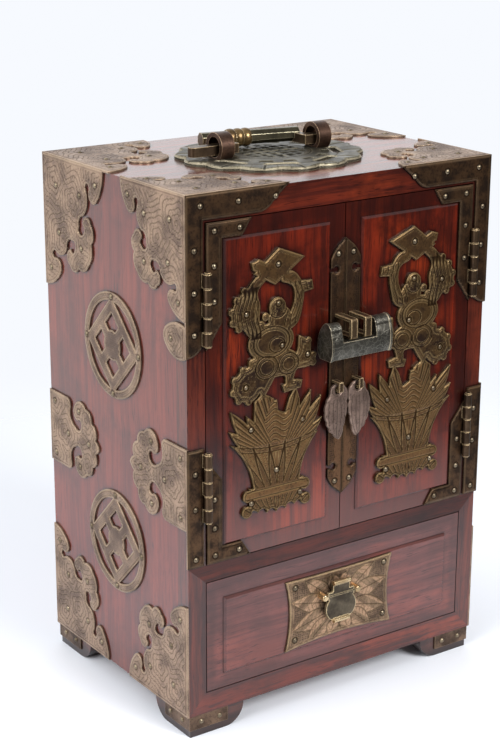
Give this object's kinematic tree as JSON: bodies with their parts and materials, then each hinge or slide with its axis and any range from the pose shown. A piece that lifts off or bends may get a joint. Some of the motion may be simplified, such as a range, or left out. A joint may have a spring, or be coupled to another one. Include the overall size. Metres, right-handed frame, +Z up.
{
  "type": "jewellery cabinet",
  "caption": "Small hardwood jewellery cabinet with paired doors above a drawer, aged brass corner mounts, a padlock across the doors and a folding carrying handle on top.",
  "frame": {"origin": "on the floor under the middle of the whole cabinet, padlock included", "axes": "+X to the right seen from the front, +Y to the back, +Z up; the doors face -Y"},
  "size_m": [0.204, 0.1619, 0.3152],
  "materials": {
    "hardwood": "satin lacquer",
    "aged_brass": "aged, chased",
    "worn_brass": "worn",
    "red_brass": "aged, reddish",
    "lock_steel": "engraved, worn"
  },
  "bodies": {
    "cabinet": {"back_edge_plates": "aged_brass", "back_panel": "hardwood", "bottom_panel": "hardwood", "carcass_rivets": "worn_brass", "corner_mount_top_back_left": "aged_brass", "corner_mount_top_back_right": "aged_brass", "corner_mount_top_front_left": "aged_brass", "corner_mount_top_front_right": "aged_brass", "corner_mounts_bottom": "aged_brass", "divider_panel": "hardwood", "door_stile_left": "hardwood", "door_stile_right": "hardwood", "drawer_stiles": "hardwood", "foot_back_left": "hardwood", "foot_back_right": "hardwood", "foot_front_left": "hardwood", "foot_front_right": "hardwood", "foot_straps": "aged_brass", "front_bottom_rail": "hardwood", "front_middle_rail": "hardwood", "front_top_rail": "hardwood", "handle_backplate": "aged_brass", "handle_posts": "red_brass", "hinge_pins": "worn_brass", "hinge_plate_left": "aged_brass", "hinge_plate_right": "aged_brass", "shelf": "hardwood", "side_panel_left": "hardwood", "side_panel_right": "hardwood", "side_roundels": "aged_brass", "side_tongues": "aged_brass", "top_panel": "hardwood"},
    "door_left": {"door_board_left": "hardwood", "door_ornament_left": "aged_brass", "door_lock_plate_left": "aged_brass", "door_staple_left": "worn_brass", "door_straps_left": "aged_brass", "door_rivets_left": "worn_brass", "door_pull_staple_left": "worn_brass"},
    "door_right": {"door_board_right": "hardwood", "door_ornament_right": "aged_brass", "door_lock_plate_right": "aged_brass", "door_staple_right": "worn_brass", "door_straps_right": "aged_brass", "door_rivets_right": "worn_brass", "door_pull_staple_right": "worn_brass"},
    "drop_pull_left": {"drop_pull_left": "red_brass"},
    "drop_pull_right": {"drop_pull_right": "red_brass"},
    "drawer": {"drawer_front": "hardwood", "drawer_side_left": "hardwood", "drawer_side_right": "hardwood", "drawer_back": "hardwood", "drawer_bottom": "hardwood", "drawer_plate": "aged_brass", "drawer_pull_posts": "worn_brass", "drawer_rivets": "worn_brass"},
    "drawer_pull": {"drawer_pull": "worn_brass"},
    "handle": {"handle_bail": "worn_brass"},
    "padlock": {"padlock_case": "lock_steel"},
    "padlock_bolt": {"padlock_bolt": "worn_brass"}
  },
  "joints": [
    {"name": "door_left_swing", "type": "hinge", "parent": "cabinet", "child": "door_left", "pos_m": [-0.0892, -0.0674, 0.1925], "axis": [0, 0, -1], "range_deg": [0, 110]},
    {"name": "door_right_swing", "type": "hinge", "parent": "cabinet", "child": "door_right", "pos_m": [0.0892, -0.0674, 0.1925], "axis": [0, 0, 1], "range_deg": [0, 110]},
    {"name": "padlock_off", "type": "slide", "parent": "door_right", "child": "padlock", "axis": [0, -1, 0], "range_m": [0, 0.29]},
    {"name": "padlock_bolt_slide", "type": "slide", "parent": "padlock", "child": "padlock_bolt", "axis": [-1, 0, 0], "range_m": [0, 0.008]},
    {"name": "drop_pull_left_swing", "type": "hinge", "parent": "door_left", "child": "drop_pull_left", "pos_m": [-0.0068, -0.06875, 0.1838], "axis": [-1, 0, 0], "range_deg": [0, 45]},
    {"name": "drop_pull_right_swing", "type": "hinge", "parent": "door_right", "child": "drop_pull_right", "pos_m": [0.0068, -0.06875, 0.1838], "axis": [-1, 0, 0], "range_deg": [0, 45]},
    {"name": "drawer_slide", "type": "slide", "parent": "cabinet", "child": "drawer", "axis": [0, -1, 0], "range_m": [0, 0.1]},
    {"name": "drawer_pull_swing", "type": "hinge", "parent": "drawer", "child": "drawer_pull", "pos_m": [-0.0028, -0.07015, 0.064], "axis": [-1, 0, 0], "range_deg": [0, 16]},
    {"name": "handle_swing", "type": "hinge", "parent": "cabinet", "child": "handle", "pos_m": [0, 0.00505, 0.3059], "axis": [1, 0, 0], "range_deg": [0, 170]}
  ],
  "couplings": [
    {"joint": "padlock_off", "follows": "door_left_swing", "m_per_rad": 0.15}
  ]
}
